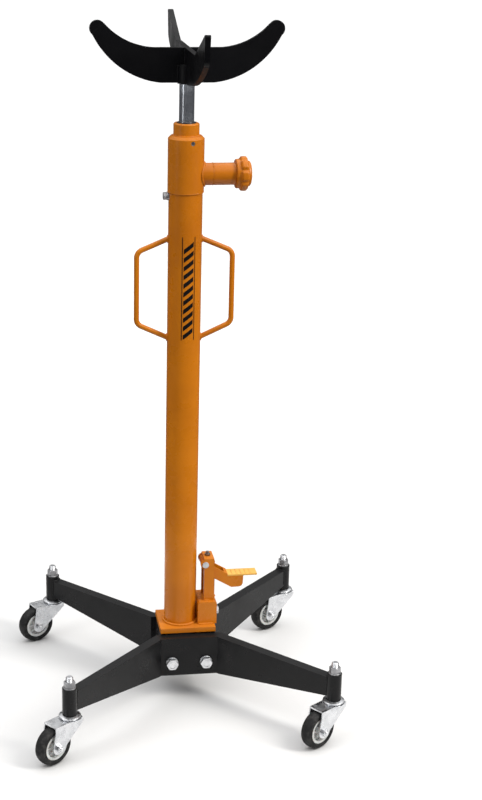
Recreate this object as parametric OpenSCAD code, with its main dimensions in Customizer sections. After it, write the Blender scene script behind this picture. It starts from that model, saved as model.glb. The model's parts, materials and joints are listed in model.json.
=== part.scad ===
// Transmission jack: a hydraulic column lift on a four-leg caster base.
// Millimetres. +Z is up, -Y is the front, +X is the pedal and knob side.
// The ram axis stands at x = 0, y = 0 and the floor is z = 0.

/* [Column] */
// Outer diameter of the column tube
tube_d = 63.5; // [55:0.5:75]
// Wall of the column tube
tube_wall = 5; // [3:0.5:8]
// Height of the top end of the column tube
tube_top = 1115; // [1000:5:1250]
// Outer diameter of the wider sleeve round the column head
head_d = 67.5; // [60:0.5:80]
// Height of the lower end of the head sleeve
head_low = 1017; // [950:1:1080]
// Height of the head sleeve's shoulder
head_top = 1121; // [1010:1:1260]
// Chamfer round the shoulder
head_chamfer = 5; // [1:0.5:8]
// Outer diameter of the gland collar
collar_d = 48; // [40:0.5:56]
// Height of the gland collar above the shoulder
collar_h = 23; // [12:1:40]

/* [Ram] */
// Diameter of the chromed rod
rod_d = 28; // [20:0.5:36]
// Height of the rod's shoulder under the saddle
rod_top = 1215; // [1160:0.1:1300]
// Outer diameter of the inner pressure cylinder
cylinder_d = 44; // [40:0.5:50]
// Bore of the pressure cylinder
cylinder_bore = 36; // [30:0.5:38]

/* [Saddle] */
// Half length of the saddle plate that runs across the jack
side_half = 176; // [140:1:220]
// Half length of the saddle plate that runs front to back
long_half = 241; // [200:1:300]
// Thickness of both saddle plates
saddle_thick = 10; // [6:0.5:14]
// Height of the saddle's underside
saddle_low = 1216.8; // [1170:0.1:1300]
// Height of the flat middle of the saddle's top
seat_z = 1279.5; // [1230:0.5:1360]
// Radius of the cradle's curve up to each side tip
cradle_r = 128; // [110:1:140]
// Radius of the curved underside of the plate across the jack
belly_r = 155; // [120:1:200]

/* [Handles] */
// Diameter of the bent handle rod
grip_d = 10; // [8:0.5:16]
// Distance from the ram axis to the middle of each grip
grip_x = 90.5; // [75:0.5:120]
// Height where the upper end meets the column
grip_top = 928; // [850:1:980]
// Height where the lower end meets the column
grip_low = 737; // [650:1:800]
// Height of the upper corner of the rod's centre line
grip_corner_top = 903; // [840:1:960]
// Height of the lower corner of the rod's centre line
grip_corner_low = 764; // [680:1:820]
// Centre-line radius of each bend
grip_bend = 16; // [12:1:24]

/* [Base] */
// Offset of the base centre from the ram axis
base_x = 11; // [0:0.5:20]
// Distance of each caster stem from the base centre, along X and along Y
leg_half = 251; // [200:1:300]
// Half length of the straight middle of each leg beam
beam_flat = 60; // [40:1:90]
// Width of the folded leg beam
beam_w = 20; // [14:1:30]
// Wall of the folded leg beam
beam_wall = 4; // [2:0.5:6]
// Distance of the beam's inner face from the ram axis
beam_y = 42; // [36:1:60]
// Height of the beam's lower edge at the middle
beam_low = 53; // [45:1:80]
// Height of the beam's upper edge at the middle
beam_top = 133; // [120:1:140]
// Height of the beam's lower edge at the caster
tip_low = 96; // [88:1:110]
// Height of the beam's upper edge at the caster
tip_top = 132; // [115:1:138]
// Height of the top of the base plate
plate_top = 147; // [145:1:165]
// Half depth of the base plate
plate_half = 45; // [40:1:60]
// Thickness of the base plate
plate_t = 10; // [6:1:16]
// Diameter of the two through bolts
bolt_d = 14; // [10:1:18]
// Half spacing of the two through bolts
bolt_x = 34; // [20:1:45]
// Height of the through bolts
bolt_z = 81; // [72:1:100]

/* [Casters] */
// Diameter of each wheel
wheel_d = 75; // [60:1:80]
// Width of each tyre
tyre_w = 23; // [18:1:26]
// Offset of the wheel axle from the swivel axis
trail = 42; // [30:1:50]
// Direction in which the front left caster trails
front_left_turn = 218; // [0:1:360]
// Direction in which the front right caster trails
front_right_turn = 215; // [0:1:360]
// Direction in which the rear left caster trails
rear_left_turn = 205; // [0:1:360]
// Direction in which the rear right caster trails
rear_right_turn = 207; // [0:1:360]
// Diameter of the sleeve at each leg end
sleeve_d = 28; // [24:1:36]
// Height of the lower end of each sleeve
sleeve_low = 86; // [84:1:95]
// Height of the upper end of each sleeve
sleeve_top = 140; // [130:1:160]
// Diameter of each caster stem
stem_d = 14; // [10:1:16]

/* [Foot pump] */
// Distance of the pedal pivot from the ram axis
pivot_x = 47.5; // [45:0.5:52]
// Height of the pedal pivot
pivot_z = 271; // [260:1:285]
// Distance from the pedal pivot to the plunger
plunger_arm = 14; // [10:0.5:16]
// Diameter of the plunger
plunger_d = 8; // [6:0.5:10]
// Distance from the ram axis to the end of the foot plate
pad_end = 153; // [130:1:180]
// Width of the foot plate
pad_w = 27; // [20:1:27]

/* [Release valve] */
// Height of the release valve
valve_z = 1049; // [1030:1:1090]
// Outer diameter of the valve body
valve_d = 41; // [34:0.5:46]
// Distance from the ram axis to the seam between stub and valve body
valve_seam = 49; // [44:0.5:54]
// Distance from the ram axis to the outer end of the valve body
valve_end = 92; // [80:1:110]
// Largest diameter of the release knob
knob_d = 64; // [58:1:72]
// Number of finger grooves round the knob
knob_lobes = 8; // [5:1:12]

/* [Hidden] */
$fn = 96;
orange = [0.80, 0.42, 0.10];
pale_orange = [0.93, 0.74, 0.35];
black = [0.06, 0.06, 0.07];
chrome = [0.80, 0.81, 0.83];
zinc = [0.72, 0.73, 0.74];
steel = [0.50, 0.50, 0.52];
rubber = [0.05, 0.05, 0.05];
hub_grey = [0.78, 0.78, 0.76];
gap = 0.05;
tube_r = tube_d / 2;
bore_r = tube_r - tube_wall;
head_r = head_d / 2;
collar_top = head_top + collar_h;
rod_r = rod_d / 2;
foot_top = plate_top + 44;
piston_low = foot_top + 0.3;
piston_top = piston_low + 39.7;
bush_low = tube_top - 54.5;
beam_mid = beam_y + beam_w / 2;
leg_dx = leg_half - beam_flat;
leg_dy = leg_half - beam_mid;
leg_turn = atan2(leg_dy, leg_dx);
wheel_r = wheel_d / 2;
rim_r = 26;
crown_top = sleeve_low - 5.7;
fork_in = 14.3;
fork_t = 2.5;
plunger_x = pivot_x + plunger_arm;
pad_drop = -29.5;
block_top = plate_top + 47;
nose_r = 7;
head_face = pivot_z - nose_r - 0.3;
nut_top = block_top + 52;

// ---- shared shapes ----

// A ring or tube standing on z = 0
module ring(outer_r, inner_r, h) {
  difference() {
    cylinder(r = outer_r, h = h);
    translate([0, 0, -1]) cylinder(r = inner_r, h = h + 2);
  }
}

// A hexagonal prism standing on z = 0, sized across its flats
module hexagon(flats, h) {
  cylinder(d = flats / cos(30), h = h, $fn = 6);
}

// A cylinder lying along +X from x = x0
module bar_x(x0, x1, r) {
  translate([x0, 0, 0]) rotate([0, 90, 0]) cylinder(r = r, h = x1 - x0);
}

// A cylinder lying along +Y from y = y0
module bar_y(y0, y1, r) {
  translate([0, y0, 0]) rotate([-90, 0, 0]) cylinder(r = r, h = y1 - y0);
}

// Places its children at the four leg ends
module at_leg_ends() {
  for (sx = [-1, 1])
    for (sy = [-1, 1])
      translate([base_x + sx * leg_half, sy * leg_half, 0]) children();
}

// Places its children at the two through bolts
module at_bolts() {
  for (s = [-1, 1])
    translate([base_x + s * bolt_x, 0, bolt_z]) children();
}

// ---- base ----

module base_plate() {
  color(orange)
    translate([base_x - 55, -plate_half, plate_top - plate_t])
      cube([110, 2 * plate_half, plate_t]);
}

module base_side_plates() {
  color(black)
    for (s = [-1, 1])
      translate([base_x + s * 50 - 4, -beam_y, beam_low + 4])
        cube([8, 2 * beam_y, plate_top - plate_t - beam_low - 4]);
}

module tie_tubes() {
  color(steel)
    at_bolts()
      difference() {
        bar_y(-beam_y, beam_y, 11.5);
        bar_y(-beam_y - 1, beam_y + 1, bolt_d / 2 + 0.2);
      }
}

// Plan outline of the front leg beam with the given half width
module beam_plan(half_w) {
  mitre = half_w * tan(leg_turn / 2);
  end_x = half_w * sin(leg_turn);
  end_y = half_w * cos(leg_turn);
  polygon([
    [-leg_half - end_x, -leg_half + end_y],
    [-beam_flat - mitre, -beam_mid + half_w],
    [beam_flat + mitre, -beam_mid + half_w],
    [leg_half + end_x, -leg_half + end_y],
    [leg_half - end_x, -leg_half - end_y],
    [beam_flat - mitre, -beam_mid - half_w],
    [-beam_flat + mitre, -beam_mid - half_w],
    [-leg_half + end_x, -leg_half - end_y]]);
}

// Front view outline of the leg beam, between its lower and upper edges
module beam_front(low_mid, low_end, drop) {
  reach = leg_half + 20;
  slope_low = (low_end - low_mid) / leg_dx;
  slope_top = (tip_top - beam_top) / leg_dx;
  end_low = low_mid + slope_low * (reach - beam_flat);
  end_top = beam_top - drop + slope_top * (reach - beam_flat);
  polygon([
    [-reach, end_low], [-beam_flat, low_mid], [beam_flat, low_mid], [reach, end_low],
    [reach, end_top], [beam_flat, beam_top - drop], [-beam_flat, beam_top - drop],
    [-reach, end_top]]);
}

// A folded channel, open underneath, coped round the caster sleeves
module leg_beam() {
  translate([base_x, 0, 0])
    difference() {
      intersection() {
        linear_extrude(height = 200) beam_plan(beam_w / 2);
        rotate([90, 0, 0]) linear_extrude(height = 300) beam_front(beam_low, tip_low, 0);
      }
      intersection() {
        linear_extrude(height = 200) beam_plan(beam_w / 2 - beam_wall);
        rotate([90, 0, 0]) linear_extrude(height = 300) beam_front(10, 10, beam_wall);
      }
      for (s = [-1, 1])
        translate([s * leg_half, -leg_half, 0])
          cylinder(r = sleeve_d / 2 + gap, h = 200);
      for (s = [-1, 1])
        translate([s * bolt_x, 0, bolt_z]) bar_y(-100, -20, bolt_d / 2 + 0.2);
    }
}

module front_leg_beam() {
  color(black) leg_beam();
}

module rear_leg_beam() {
  color(black) mirror([0, 1, 0]) leg_beam();
}

module leg_sleeves() {
  color(black)
    at_leg_ends()
      translate([0, 0, sleeve_low])
        ring(sleeve_d / 2, stem_d / 2 + 0.2, sleeve_top - sleeve_low);
}

module leg_bolts() {
  y_face = beam_y + beam_w + 2.5;
  color(zinc)
    at_bolts() {
      bar_y(-y_face, y_face + 14, bolt_d / 2);
      translate([0, -y_face, 0]) rotate([90, 0, 0]) hexagon(21, 8.5);
    }
}

// Washers at both ends and nuts at the rear
module leg_bolt_nuts() {
  y_face = beam_y + beam_w;
  color(steel)
    at_bolts()
      for (y = [-y_face - 2.5, y_face])
        translate([0, y, 0]) rotate([-90, 0, 0]) ring(12, bolt_d / 2 + gap, 2.5);
  color(zinc)
    at_bolts()
      translate([0, y_face + 2.5, 0])
        rotate([-90, 0, 0])
          difference() {
            hexagon(21, 11);
            translate([0, 0, -1]) cylinder(r = bolt_d / 2 + gap, h = 13);
          }
}

// ---- column ----

module column_tube() {
  color(orange)
    difference() {
      translate([0, 0, plate_top]) cylinder(r = tube_r, h = tube_top - plate_top);
      translate([0, 0, plate_top - 1]) cylinder(r = bore_r, h = tube_top);
      translate([0, 0, 1009]) bar_x(-tube_r - 1, -bore_r + 2, 4 + gap);
      translate([0, 0, 1110]) rotate([0, 0, -76]) bar_x(bore_r - 2, tube_r + 1, 4 + gap);
    }
}

module head_sleeve() {
  inner = tube_r + gap;
  color(orange)
    difference() {
      rotate_extrude()
        polygon([
          [inner, head_low], [head_r, head_low], [head_r, head_top - head_chamfer],
          [head_r - head_chamfer, head_top], [20, head_top], [20, tube_top],
          [inner, tube_top]]);
      translate([0, 0, 1110]) rotate([0, 0, -76]) bar_x(25, head_r + 2, 4 + gap);
    }
}

module gland_collar() {
  collar_r = collar_d / 2;
  color(orange)
    rotate_extrude()
      polygon([
        [rod_r + 0.3, tube_top], [19.9, tube_top], [19.9, head_top], [collar_r, head_top],
        [collar_r, collar_top - 2], [collar_r - 2, collar_top], [18, collar_top],
        [18, collar_top - 7], [rod_r + 0.3, collar_top - 7]]);
}

module rod_guide_bush() {
  color([0.72, 0.56, 0.28])
    difference() {
      union() {
        translate([0, 0, bush_low]) cylinder(r = cylinder_bore / 2 - gap, h = 39.5);
        translate([0, 0, tube_top - 15]) cylinder(r = bore_r - gap, h = 15);
      }
      translate([0, 0, bush_low - 1]) cylinder(r = rod_r + gap, h = 60);
    }
}

module rod_wiper() {
  color(rubber)
    translate([0, 0, collar_top - 7]) ring(18 - gap, rod_r + gap, 7.8);
}

module pressure_cylinder() {
  color(steel)
    translate([0, 0, plate_top + 22])
      ring(cylinder_d / 2, cylinder_bore / 2, tube_top - 15 - plate_top - 22);
}

module cylinder_foot() {
  color(steel) {
    translate([0, 0, plate_top]) cylinder(r = bore_r - gap, h = 22);
    translate([0, 0, plate_top + 21]) cylinder(r = cylinder_bore / 2 - gap, h = 23);
  }
}

// A straight length of handle rod between two points in the XZ plane.
// It runs 1 mm into the bends and is a hair thinner, so that it joins them cleanly.
module grip_rod(a, b) {
  along = b - a;
  translate([a[0], 0, a[1]])
    rotate([0, atan2(along[0], along[1]), 0])
      translate([0, 0, -1]) cylinder(d = grip_d - 0.1, h = norm(along) + 2);
}

// A bend of the handle rod about a centre in the XZ plane
module grip_bend_at(centre, from_a, turn) {
  translate([centre[0], 0, centre[1]])
    rotate([90, 0, 0])
      rotate([0, 0, from_a])
        rotate_extrude(angle = turn)
          translate([grip_bend, 0]) circle(d = grip_d);
}

// The right-hand handle: arm, bend, grip, bend, arm
module handle() {
  top_end = [tube_r, grip_top];
  top_corner = [grip_x, grip_corner_top];
  low_corner = [grip_x, grip_corner_low];
  low_end = [tube_r, grip_low];
  top_dir = (top_corner - top_end) / norm(top_corner - top_end);
  low_dir = (low_end - low_corner) / norm(low_end - low_corner);
  top_turn = acos(-top_dir[1]);
  low_turn = acos(-low_dir[1]);
  top_set = grip_bend * tan(top_turn / 2);
  low_set = grip_bend * tan(low_turn / 2);
  difference() {
    union() {
      grip_rod(top_end - 8 * top_dir, top_corner - top_set * top_dir);
      grip_bend_at([grip_x - grip_bend, grip_corner_top - top_set], 0, top_turn);
      grip_rod([grip_x, grip_corner_low + low_set], [grip_x, grip_corner_top - top_set]);
      grip_bend_at([grip_x - grip_bend, grip_corner_low + low_set], -low_turn, low_turn);
      grip_rod(low_end + 8 * low_dir, low_corner + low_set * low_dir);
    }
    translate([0, 0, grip_low - 50]) cylinder(r = tube_r + gap, h = 300);
  }
}

module right_handle() {
  color(orange) handle();
}

module left_handle() {
  color(orange) mirror([1, 0, 0]) handle();
}

module filler_plug() {
  color(zinc)
    translate([0, 0, 1009]) {
      bar_x(-tube_r - 3.2, -bore_r - 0.5, 4);
      difference() {
        bar_x(-tube_r - 3.2, -tube_r + 4, 8);
        translate([0, 0, -20]) cylinder(r = tube_r + gap, h = 40);
      }
      translate([-tube_r - 10.2, 0, 0]) rotate([0, 90, 0]) hexagon(13, 7.2);
    }
}

module head_set_screw() {
  color(steel)
    translate([0, 0, 1110])
      rotate([0, 0, -76])
        difference() {
          bar_x(tube_r - 3, head_r - 0.6, 4);
          translate([head_r - 3, 0, 0]) rotate([0, 90, 0]) hexagon(4, 4);
        }
}

// ---- release valve ----

module release_stub() {
  color(orange)
    difference() {
      translate([0, 0, valve_z]) bar_x(20, valve_seam, valve_d / 2);
      translate([0, 0, valve_z]) bar_x(19, valve_seam + 1, 12);
      translate([0, 0, valve_z - 50]) cylinder(r = head_r + gap, h = 100);
    }
}

module release_body() {
  color(orange)
    translate([0, 0, valve_z])
      difference() {
        union() {
          bar_x(valve_seam, valve_seam + 2, valve_d / 2 - 1.5);
          bar_x(valve_seam + 2, valve_end, valve_d / 2);
        }
        bar_x(valve_seam - 1, 62, 12);
        bar_x(61, valve_end + 1, 6 + gap);
      }
}

module release_knob() {
  r = knob_d / 2;
  color(orange)
    translate([valve_end + 0.3, 0, valve_z])
      rotate([0, 90, 0])
        difference() {
          rotate_extrude()
            polygon([
              [6 + gap, 0], [25.5, 0], [27, 1.5], [27, 7.5], [r - 1.5, 8.5], [r, 10],
              [r, 20], [r - 1.5, 21.5], [24.5, 22], [23.5, 23], [23.5, 26], [21.5, 28],
              [16, 29.3], [13, 29.5], [12, 26.5], [6 + gap, 26.5]]);
          for (i = [0 : knob_lobes - 1])
            rotate([0, 0, (i + 0.5) * 360 / knob_lobes])
              translate([r + 3.5, 0, -1]) cylinder(r = 7, h = 32);
        }
}

module release_spindle() {
  color(zinc)
    translate([0, 0, valve_z]) {
      bar_x(50, valve_end + 28, 6);
      translate([45, 0, 0]) rotate([0, 90, 0]) cylinder(r1 = 1.5, r2 = 6, h = 5);
    }
}

// ---- foot pump ----

module pump_body() {
  color(orange)
    difference() {
      translate([0, 30, 0])
        rotate([90, 0, 0])
          linear_extrude(height = 60)
            polygon([
              [32, plate_top], [70, plate_top], [70, block_top - 3], [67, block_top],
              [35, block_top], [32, block_top - 3]]);
      for (y = [-12, 12])
        translate([0, y, plate_top + 22]) bar_x(60, 71, 4 + gap);
    }
}

module pump_cylinder() {
  color(orange)
    translate([plunger_x, 0, block_top])
      difference() {
        cylinder(r = 8, h = 46);
        translate([0, 0, 3]) cylinder(r = plunger_d / 2 + gap, h = 50);
      }
}

module pump_gland_nut() {
  color(zinc)
    translate([plunger_x, 0, nut_top - 6])
      difference() {
        hexagon(17, 6);
        translate([0, 0, -1]) cylinder(r = plunger_d / 2 + gap, h = 8);
      }
}

// Two lugs that carry the pedal pin, joined by a bridge above the pedal
module pump_bracket() {
  lug_x = 45;
  lug_w = 20;
  top = pivot_z + 9;
  color(orange)
    difference() {
      union() {
        for (y = [-14, 20])
          translate([0, y, 0])
            rotate([90, 0, 0])
              linear_extrude(height = 6) {
                translate([lug_x, block_top]) square([lug_w, top - block_top]);
                translate([pivot_x, pivot_z]) circle(r = 9.5);
              }
        translate([lug_x, -20, top]) cube([lug_w, 40, 3]);
      }
      translate([pivot_x, 0, pivot_z]) bar_y(-30, 30, 4 + gap);
      translate([54, 0, top - 1]) cylinder(r = 3 + gap, h = 6);
    }
}

module pedal_pivot_pin() {
  color(zinc)
    translate([pivot_x, 0, pivot_z]) {
      bar_y(-20, 22.5, 4);
      bar_y(-22.5, -20, 6.5);
      bar_y(20.2, 21.6, 6);
    }
}

module pedal_stop_screw() {
  color(steel)
    translate([54, 0, 0]) {
      translate([0, 0, pivot_z + 8.2]) cylinder(r = 3, h = 12.3);
      translate([0, 0, pivot_z + 12]) hexagon(10, 4);
    }
}

module check_valve_plugs() {
  color(zinc)
    for (y = [-12, 12])
      translate([0, y, plate_top + 22]) {
        bar_x(61, 70, 4);
        translate([70, 0, 0]) rotate([0, 90, 0]) hexagon(14, 6);
      }
}

// Hub, pressing nose, and two cheeks that pass beside the pump to the foot plate
module pedal_lever() {
  hub_r = 8.5;
  cheek_t = 3;
  cheek_y = 13.2;
  color(orange)
    translate([pivot_x, 0, pivot_z])
      difference() {
        union() {
          bar_y(-13, 13, hub_r);
          translate([0, 7, 0])
            rotate([90, 0, 0])
              linear_extrude(height = 14) {
                polygon([[0, 8.2], [plunger_arm, nose_r], [plunger_arm, -4], [0, -5]]);
                translate([plunger_arm, 0]) circle(r = nose_r);
              }
          for (y = [cheek_t - cheek_y, cheek_y])
            translate([0, y, 0])
              rotate([90, 0, 0])
                linear_extrude(height = cheek_t)
                  polygon([
                    [0, 8.2], [8, 0], [12, -5], [45.5, -24.5], [45.5, pad_drop], [78, pad_drop],
                    [77, -47], [74, -52], [70, -53.5], [54, -54], [15.5, -31.5], [4, -24],
                    [-8, -2]]);
          translate([0, 12, 0])
            rotate([90, 0, 0])
              linear_extrude(height = 24)
                polygon([[38.8, -20.6], [45.5, -24.5], [45.5, pad_drop], [43, pad_drop]]);
        }
        bar_y(-14, 14, 4 + gap);
      }
}

// The foot plate with its cross ribs
module pedal_pad() {
  pad_x = pivot_x + 46;
  pad_z = pivot_z + pad_drop;
  color(pale_orange) {
    translate([pad_x, -pad_w / 2, pad_z]) cube([pad_end - pad_x, pad_w, 3.2]);
    for (i = [1 : 5])
      translate([pad_x + i * 9, -pad_w / 2 + 3, pad_z + 3]) cube([2.4, pad_w - 6, 1]);
  }
}

module pump_plunger() {
  color(chrome)
    translate([plunger_x, 0, 0]) {
      translate([0, 0, block_top + 11])
        cylinder(r = plunger_d / 2, h = head_face - block_top - 12);
      translate([0, 0, head_face - 5]) cylinder(r = 6, h = 5);
    }
}

// Helical return spring round the plunger. Each level cuts the wire in an arc.
module plunger_spring() {
  wire = 1.4;
  coil_r = 6;
  turns = 3;
  low = nut_top + 0.2;
  high = head_face - 5.2;
  arc = 360 * wire * turns / (high - low);
  color(steel)
    translate([plunger_x, 0, low])
      linear_extrude(height = high - low, twist = -360 * turns, slices = 24 * turns, $fn = 18)
        polygon([
          for (i = [0 : 8]) coil_r * [cos(arc * i / 8), sin(arc * i / 8)],
          for (i = [8 : -1 : 0]) (coil_r - wire) * [cos(arc * i / 8), sin(arc * i / 8)]]);
}

// ---- ram and saddle ----

module ram_rod() {
  color(chrome)
    rotate_extrude()
      polygon([
        [0, piston_low + 4], [9, piston_low + 4], [9, piston_top], [rod_r, piston_top],
        [rod_r, rod_top], [10.9, rod_top], [10.9, 1224.5], [8.7, 1224.5],
        [8.7, 1231.5], [10.9, 1231.5], [10.9, rod_top + 28], [9.9, rod_top + 29],
        [0, rod_top + 29]]);
}

module ram_piston() {
  r = cylinder_bore / 2 - 0.1;
  groove = r - 2.4;
  color(steel)
    rotate_extrude()
      polygon([
        [0, piston_low], [r, piston_low], [r, piston_low + 12], [groove, piston_low + 12],
        [groove, piston_low + 16], [r, piston_low + 16], [r, piston_low + 24],
        [groove, piston_low + 24], [groove, piston_low + 28], [r, piston_low + 28],
        [r, piston_top], [9 + gap, piston_top], [9 + gap, piston_low + 3.5],
        [0, piston_low + 3.5]]);
}

module piston_seals() {
  r = cylinder_bore / 2;
  color(rubber)
    for (z = [12.1, 24.1])
      translate([0, 0, piston_low + z]) ring(r - 0.03, r - 2.45, 3.8);
}

// Side view of the plate across the jack: a flat-bottomed crescent with rounded tips
module side_outline() {
  flat = 55;
  tip = [side_half - 13.5, 1313];
  difference() {
    intersection() {
      union() {
        for (s = [-1, 1])
          translate([s * 33, 1371]) circle(r = belly_r, $fn = 180);
        translate([-33, saddle_low - 10]) square([66, 100]);
      }
      translate([-400, saddle_low]) square([800, 200]);
    }
    intersection() {
      union() {
        for (s = [-1, 1])
          translate([s * flat, seat_z + cradle_r - 0.2]) circle(r = cradle_r, $fn = 180);
        translate([-flat, seat_z - 10]) square([2 * flat, 300]);
      }
      translate([-400, seat_z]) square([800, 300]);
    }
    for (s = [0, 1])
      mirror([s, 0])
        translate(tip) rotate(55) translate([0, -100]) square([200, 200]);
  }
  for (s = [0, 1])
    mirror([s, 0]) translate(tip) circle(r = 14.6);
}

// Side view of the longer plate: straight rising arms with a curved underside,
// a rounded heel under each end and a sharp upper tip
module long_outline() {
  sweep_r = 415;
  heel = [long_half - 28, 1289.5];
  tip = [long_half - 4, 1321.8];
  low = saddle_low - 15;
  intersection() {
    union() {
      for (s = [0, 1])
        mirror([s, 0]) {
          intersection() {
            translate([20, saddle_low + sweep_r - 0.3]) circle(r = sweep_r, $fn = 360);
            polygon([
              [-1, seat_z], [tip[0] - 112.5, seat_z], [tip[0] - 1.5, tip[1] + 3.65], tip,
              [tip[0] + 3.95, tip[1]], [heel[0] + 21.9, heel[1]], heel,
              [heel[0] + 19.6, heel[1] - 34.8], [heel[0] + 19.6, low], [-1, low]]);
          }
          translate(heel) circle(r = 21.9);
          translate(tip) circle(r = 3.95, $fn = 48);
        }
      translate([-20, low]) square([40, 40]);
    }
    translate([-400, saddle_low]) square([800, 200]);
  }
}

// Turns a side view outline into an upright plate, notched round the hub
module saddle_plate() {
  difference() {
    translate([0, saddle_thick / 2, 0])
      rotate([90, 0, 0])
        linear_extrude(height = saddle_thick) children();
    translate([-18 - gap, -20, saddle_low - 1]) cube([36 + 2 * gap, 40, 34.3]);
  }
}

module saddle_side_plate() {
  slot = saddle_thick + 2 * gap;
  color(black)
    difference() {
      saddle_plate() side_outline();
      translate([-slot / 2, -20, 1265]) cube([slot, 40, 40]);
    }
}

module saddle_long_plate() {
  slot = saddle_thick + 2 * gap;
  color(black)
    difference() {
      rotate([0, 0, 90]) saddle_plate() long_outline();
      translate([-20, -slot / 2, 1240]) cube([40, slot, 25 + gap]);
    }
}

// A socket for the rod's spigot, drilled crosswise for the locking screw
module saddle_hub() {
  color(black)
    difference() {
      translate([0, 0, rod_top + 0.3]) cylinder(r = 18, h = 34.7);
      translate([0, 0, rod_top - 1]) cylinder(r = 11, h = 30.5);
      translate([0, 0, 1228]) rotate([0, 0, 135]) bar_x(5, 20, 3 + gap);
    }
}

module saddle_screw() {
  color(steel)
    translate([0, 0, 1228])
      rotate([0, 0, 135])
        difference() {
          bar_x(9.3, 18.4, 3);
          translate([16.4, 0, 0]) rotate([0, 90, 0]) hexagon(3, 4);
        }
}

// ---- casters ----

// The fixed upper half of each caster: stem, upper race and kingpin
module caster_stems() {
  color(zinc)
    at_leg_ends() {
      translate([0, 0, sleeve_low]) cylinder(d = stem_d, h = sleeve_top + 22 - sleeve_low);
      translate([0, 0, sleeve_top + 22]) cylinder(r1 = stem_d / 2, r2 = stem_d / 2 - 1, h = 1);
      translate([0, 0, sleeve_low - 3.7]) cylinder(r = 21, h = 3.7);
      translate([0, 0, crown_top - 7]) cylinder(r = 7, h = 10);
      translate([0, 0, crown_top - 7]) cylinder(r = 11, h = 3.5);
    }
}

module caster_stem_nuts() {
  color(zinc)
    at_leg_ends()
      translate([0, 0, sleeve_top]) {
        ring(12, stem_d / 2 + gap, 2.5);
        translate([0, 0, 2.6])
          difference() {
            hexagon(19, 11);
            translate([0, 0, -1]) cylinder(r = stem_d / 2 + gap, h = 13);
          }
      }
}

// Side view of one fork cheek: the crown at the top, the axle eye at the trail
module cheek_outline() {
  difference() {
    union() {
      polygon([
        [-18, crown_top], [48, crown_top], [trail + 12.7, wheel_r + 1],
        [trail - 8, wheel_r - 9.5], [-18, crown_top - 9]]);
      translate([trail, wheel_r]) circle(r = 13);
    }
    translate([trail, wheel_r]) circle(r = 4 + gap);
  }
}

// The swivelling fork, trailing along +X, with its axis at the origin
module fork() {
  difference() {
    union() {
      for (y = [-fork_in, fork_in + fork_t])
        translate([0, y, 0])
          rotate([90, 0, 0])
            linear_extrude(height = fork_t) cheek_outline();
      translate([0, 0, crown_top - 3]) cylinder(r = 22, h = 3);
      translate([-18, -fork_in - 1, crown_top - 3]) cube([66, 2 * fork_in + 2, 3]);
      translate([0, 0, crown_top]) cylinder(r = 18, h = 1.7);
    }
    translate([0, 0, crown_top - 10]) cylinder(r = 7.1, h = 20);
  }
}

module axle() {
  out = fork_in + fork_t;
  translate([trail, 0, wheel_r]) {
    bar_y(-out, out + 8.5, 4);
    translate([0, -out, 0]) rotate([90, 0, 0]) hexagon(13, 5);
    translate([0, out, 0])
      rotate([-90, 0, 0])
        difference() {
          hexagon(13, 6.5);
          translate([0, 0, -1]) cylinder(r = 4 + gap, h = 9);
        }
  }
}

module wheel_hub() {
  translate([trail, 0, wheel_r])
    rotate([90, 0, 0])
      rotate_extrude()
        polygon([
          [4 + gap, -13.5], [9, -13.5], [10, -12.5], [10, -4], [20, -4], [21, -10],
          [rim_r, -10], [rim_r, 10], [21, 10], [20, 4], [10, 4], [10, 12.5], [9, 13.5],
          [4 + gap, 13.5]]);
}

module tyre() {
  crown = 26;
  translate([trail, 0, wheel_r])
    rotate([90, 0, 0])
      rotate_extrude()
        intersection() {
          translate([rim_r + gap, -tyre_w / 2]) square([20, tyre_w]);
          translate([wheel_r - crown, 0]) circle(r = crown);
        }
}

// Places a caster piece at a leg end and turns it to its trailing direction
module at_leg(sx, sy, turn) {
  translate([base_x + sx * leg_half, sy * leg_half, 0])
    rotate([0, 0, turn]) children();
}

module fl_fork() {
  color(zinc) at_leg(-1, -1, front_left_turn) fork();
}
module fl_axle() {
  color(zinc) at_leg(-1, -1, front_left_turn) axle();
}
module fl_wheel_hub() {
  color(hub_grey) at_leg(-1, -1, front_left_turn) wheel_hub();
}
module fl_tyre() {
  color(rubber) at_leg(-1, -1, front_left_turn) tyre();
}
module fr_fork() {
  color(zinc) at_leg(1, -1, front_right_turn) fork();
}
module fr_axle() {
  color(zinc) at_leg(1, -1, front_right_turn) axle();
}
module fr_wheel_hub() {
  color(hub_grey) at_leg(1, -1, front_right_turn) wheel_hub();
}
module fr_tyre() {
  color(rubber) at_leg(1, -1, front_right_turn) tyre();
}
module rl_fork() {
  color(zinc) at_leg(-1, 1, rear_left_turn) fork();
}
module rl_axle() {
  color(zinc) at_leg(-1, 1, rear_left_turn) axle();
}
module rl_wheel_hub() {
  color(hub_grey) at_leg(-1, 1, rear_left_turn) wheel_hub();
}
module rl_tyre() {
  color(rubber) at_leg(-1, 1, rear_left_turn) tyre();
}
module rr_fork() {
  color(zinc) at_leg(1, 1, rear_right_turn) fork();
}
module rr_axle() {
  color(zinc) at_leg(1, 1, rear_right_turn) axle();
}
module rr_wheel_hub() {
  color(hub_grey) at_leg(1, 1, rear_right_turn) wheel_hub();
}
module rr_tyre() {
  color(rubber) at_leg(1, 1, rear_right_turn) tyre();
}

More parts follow.
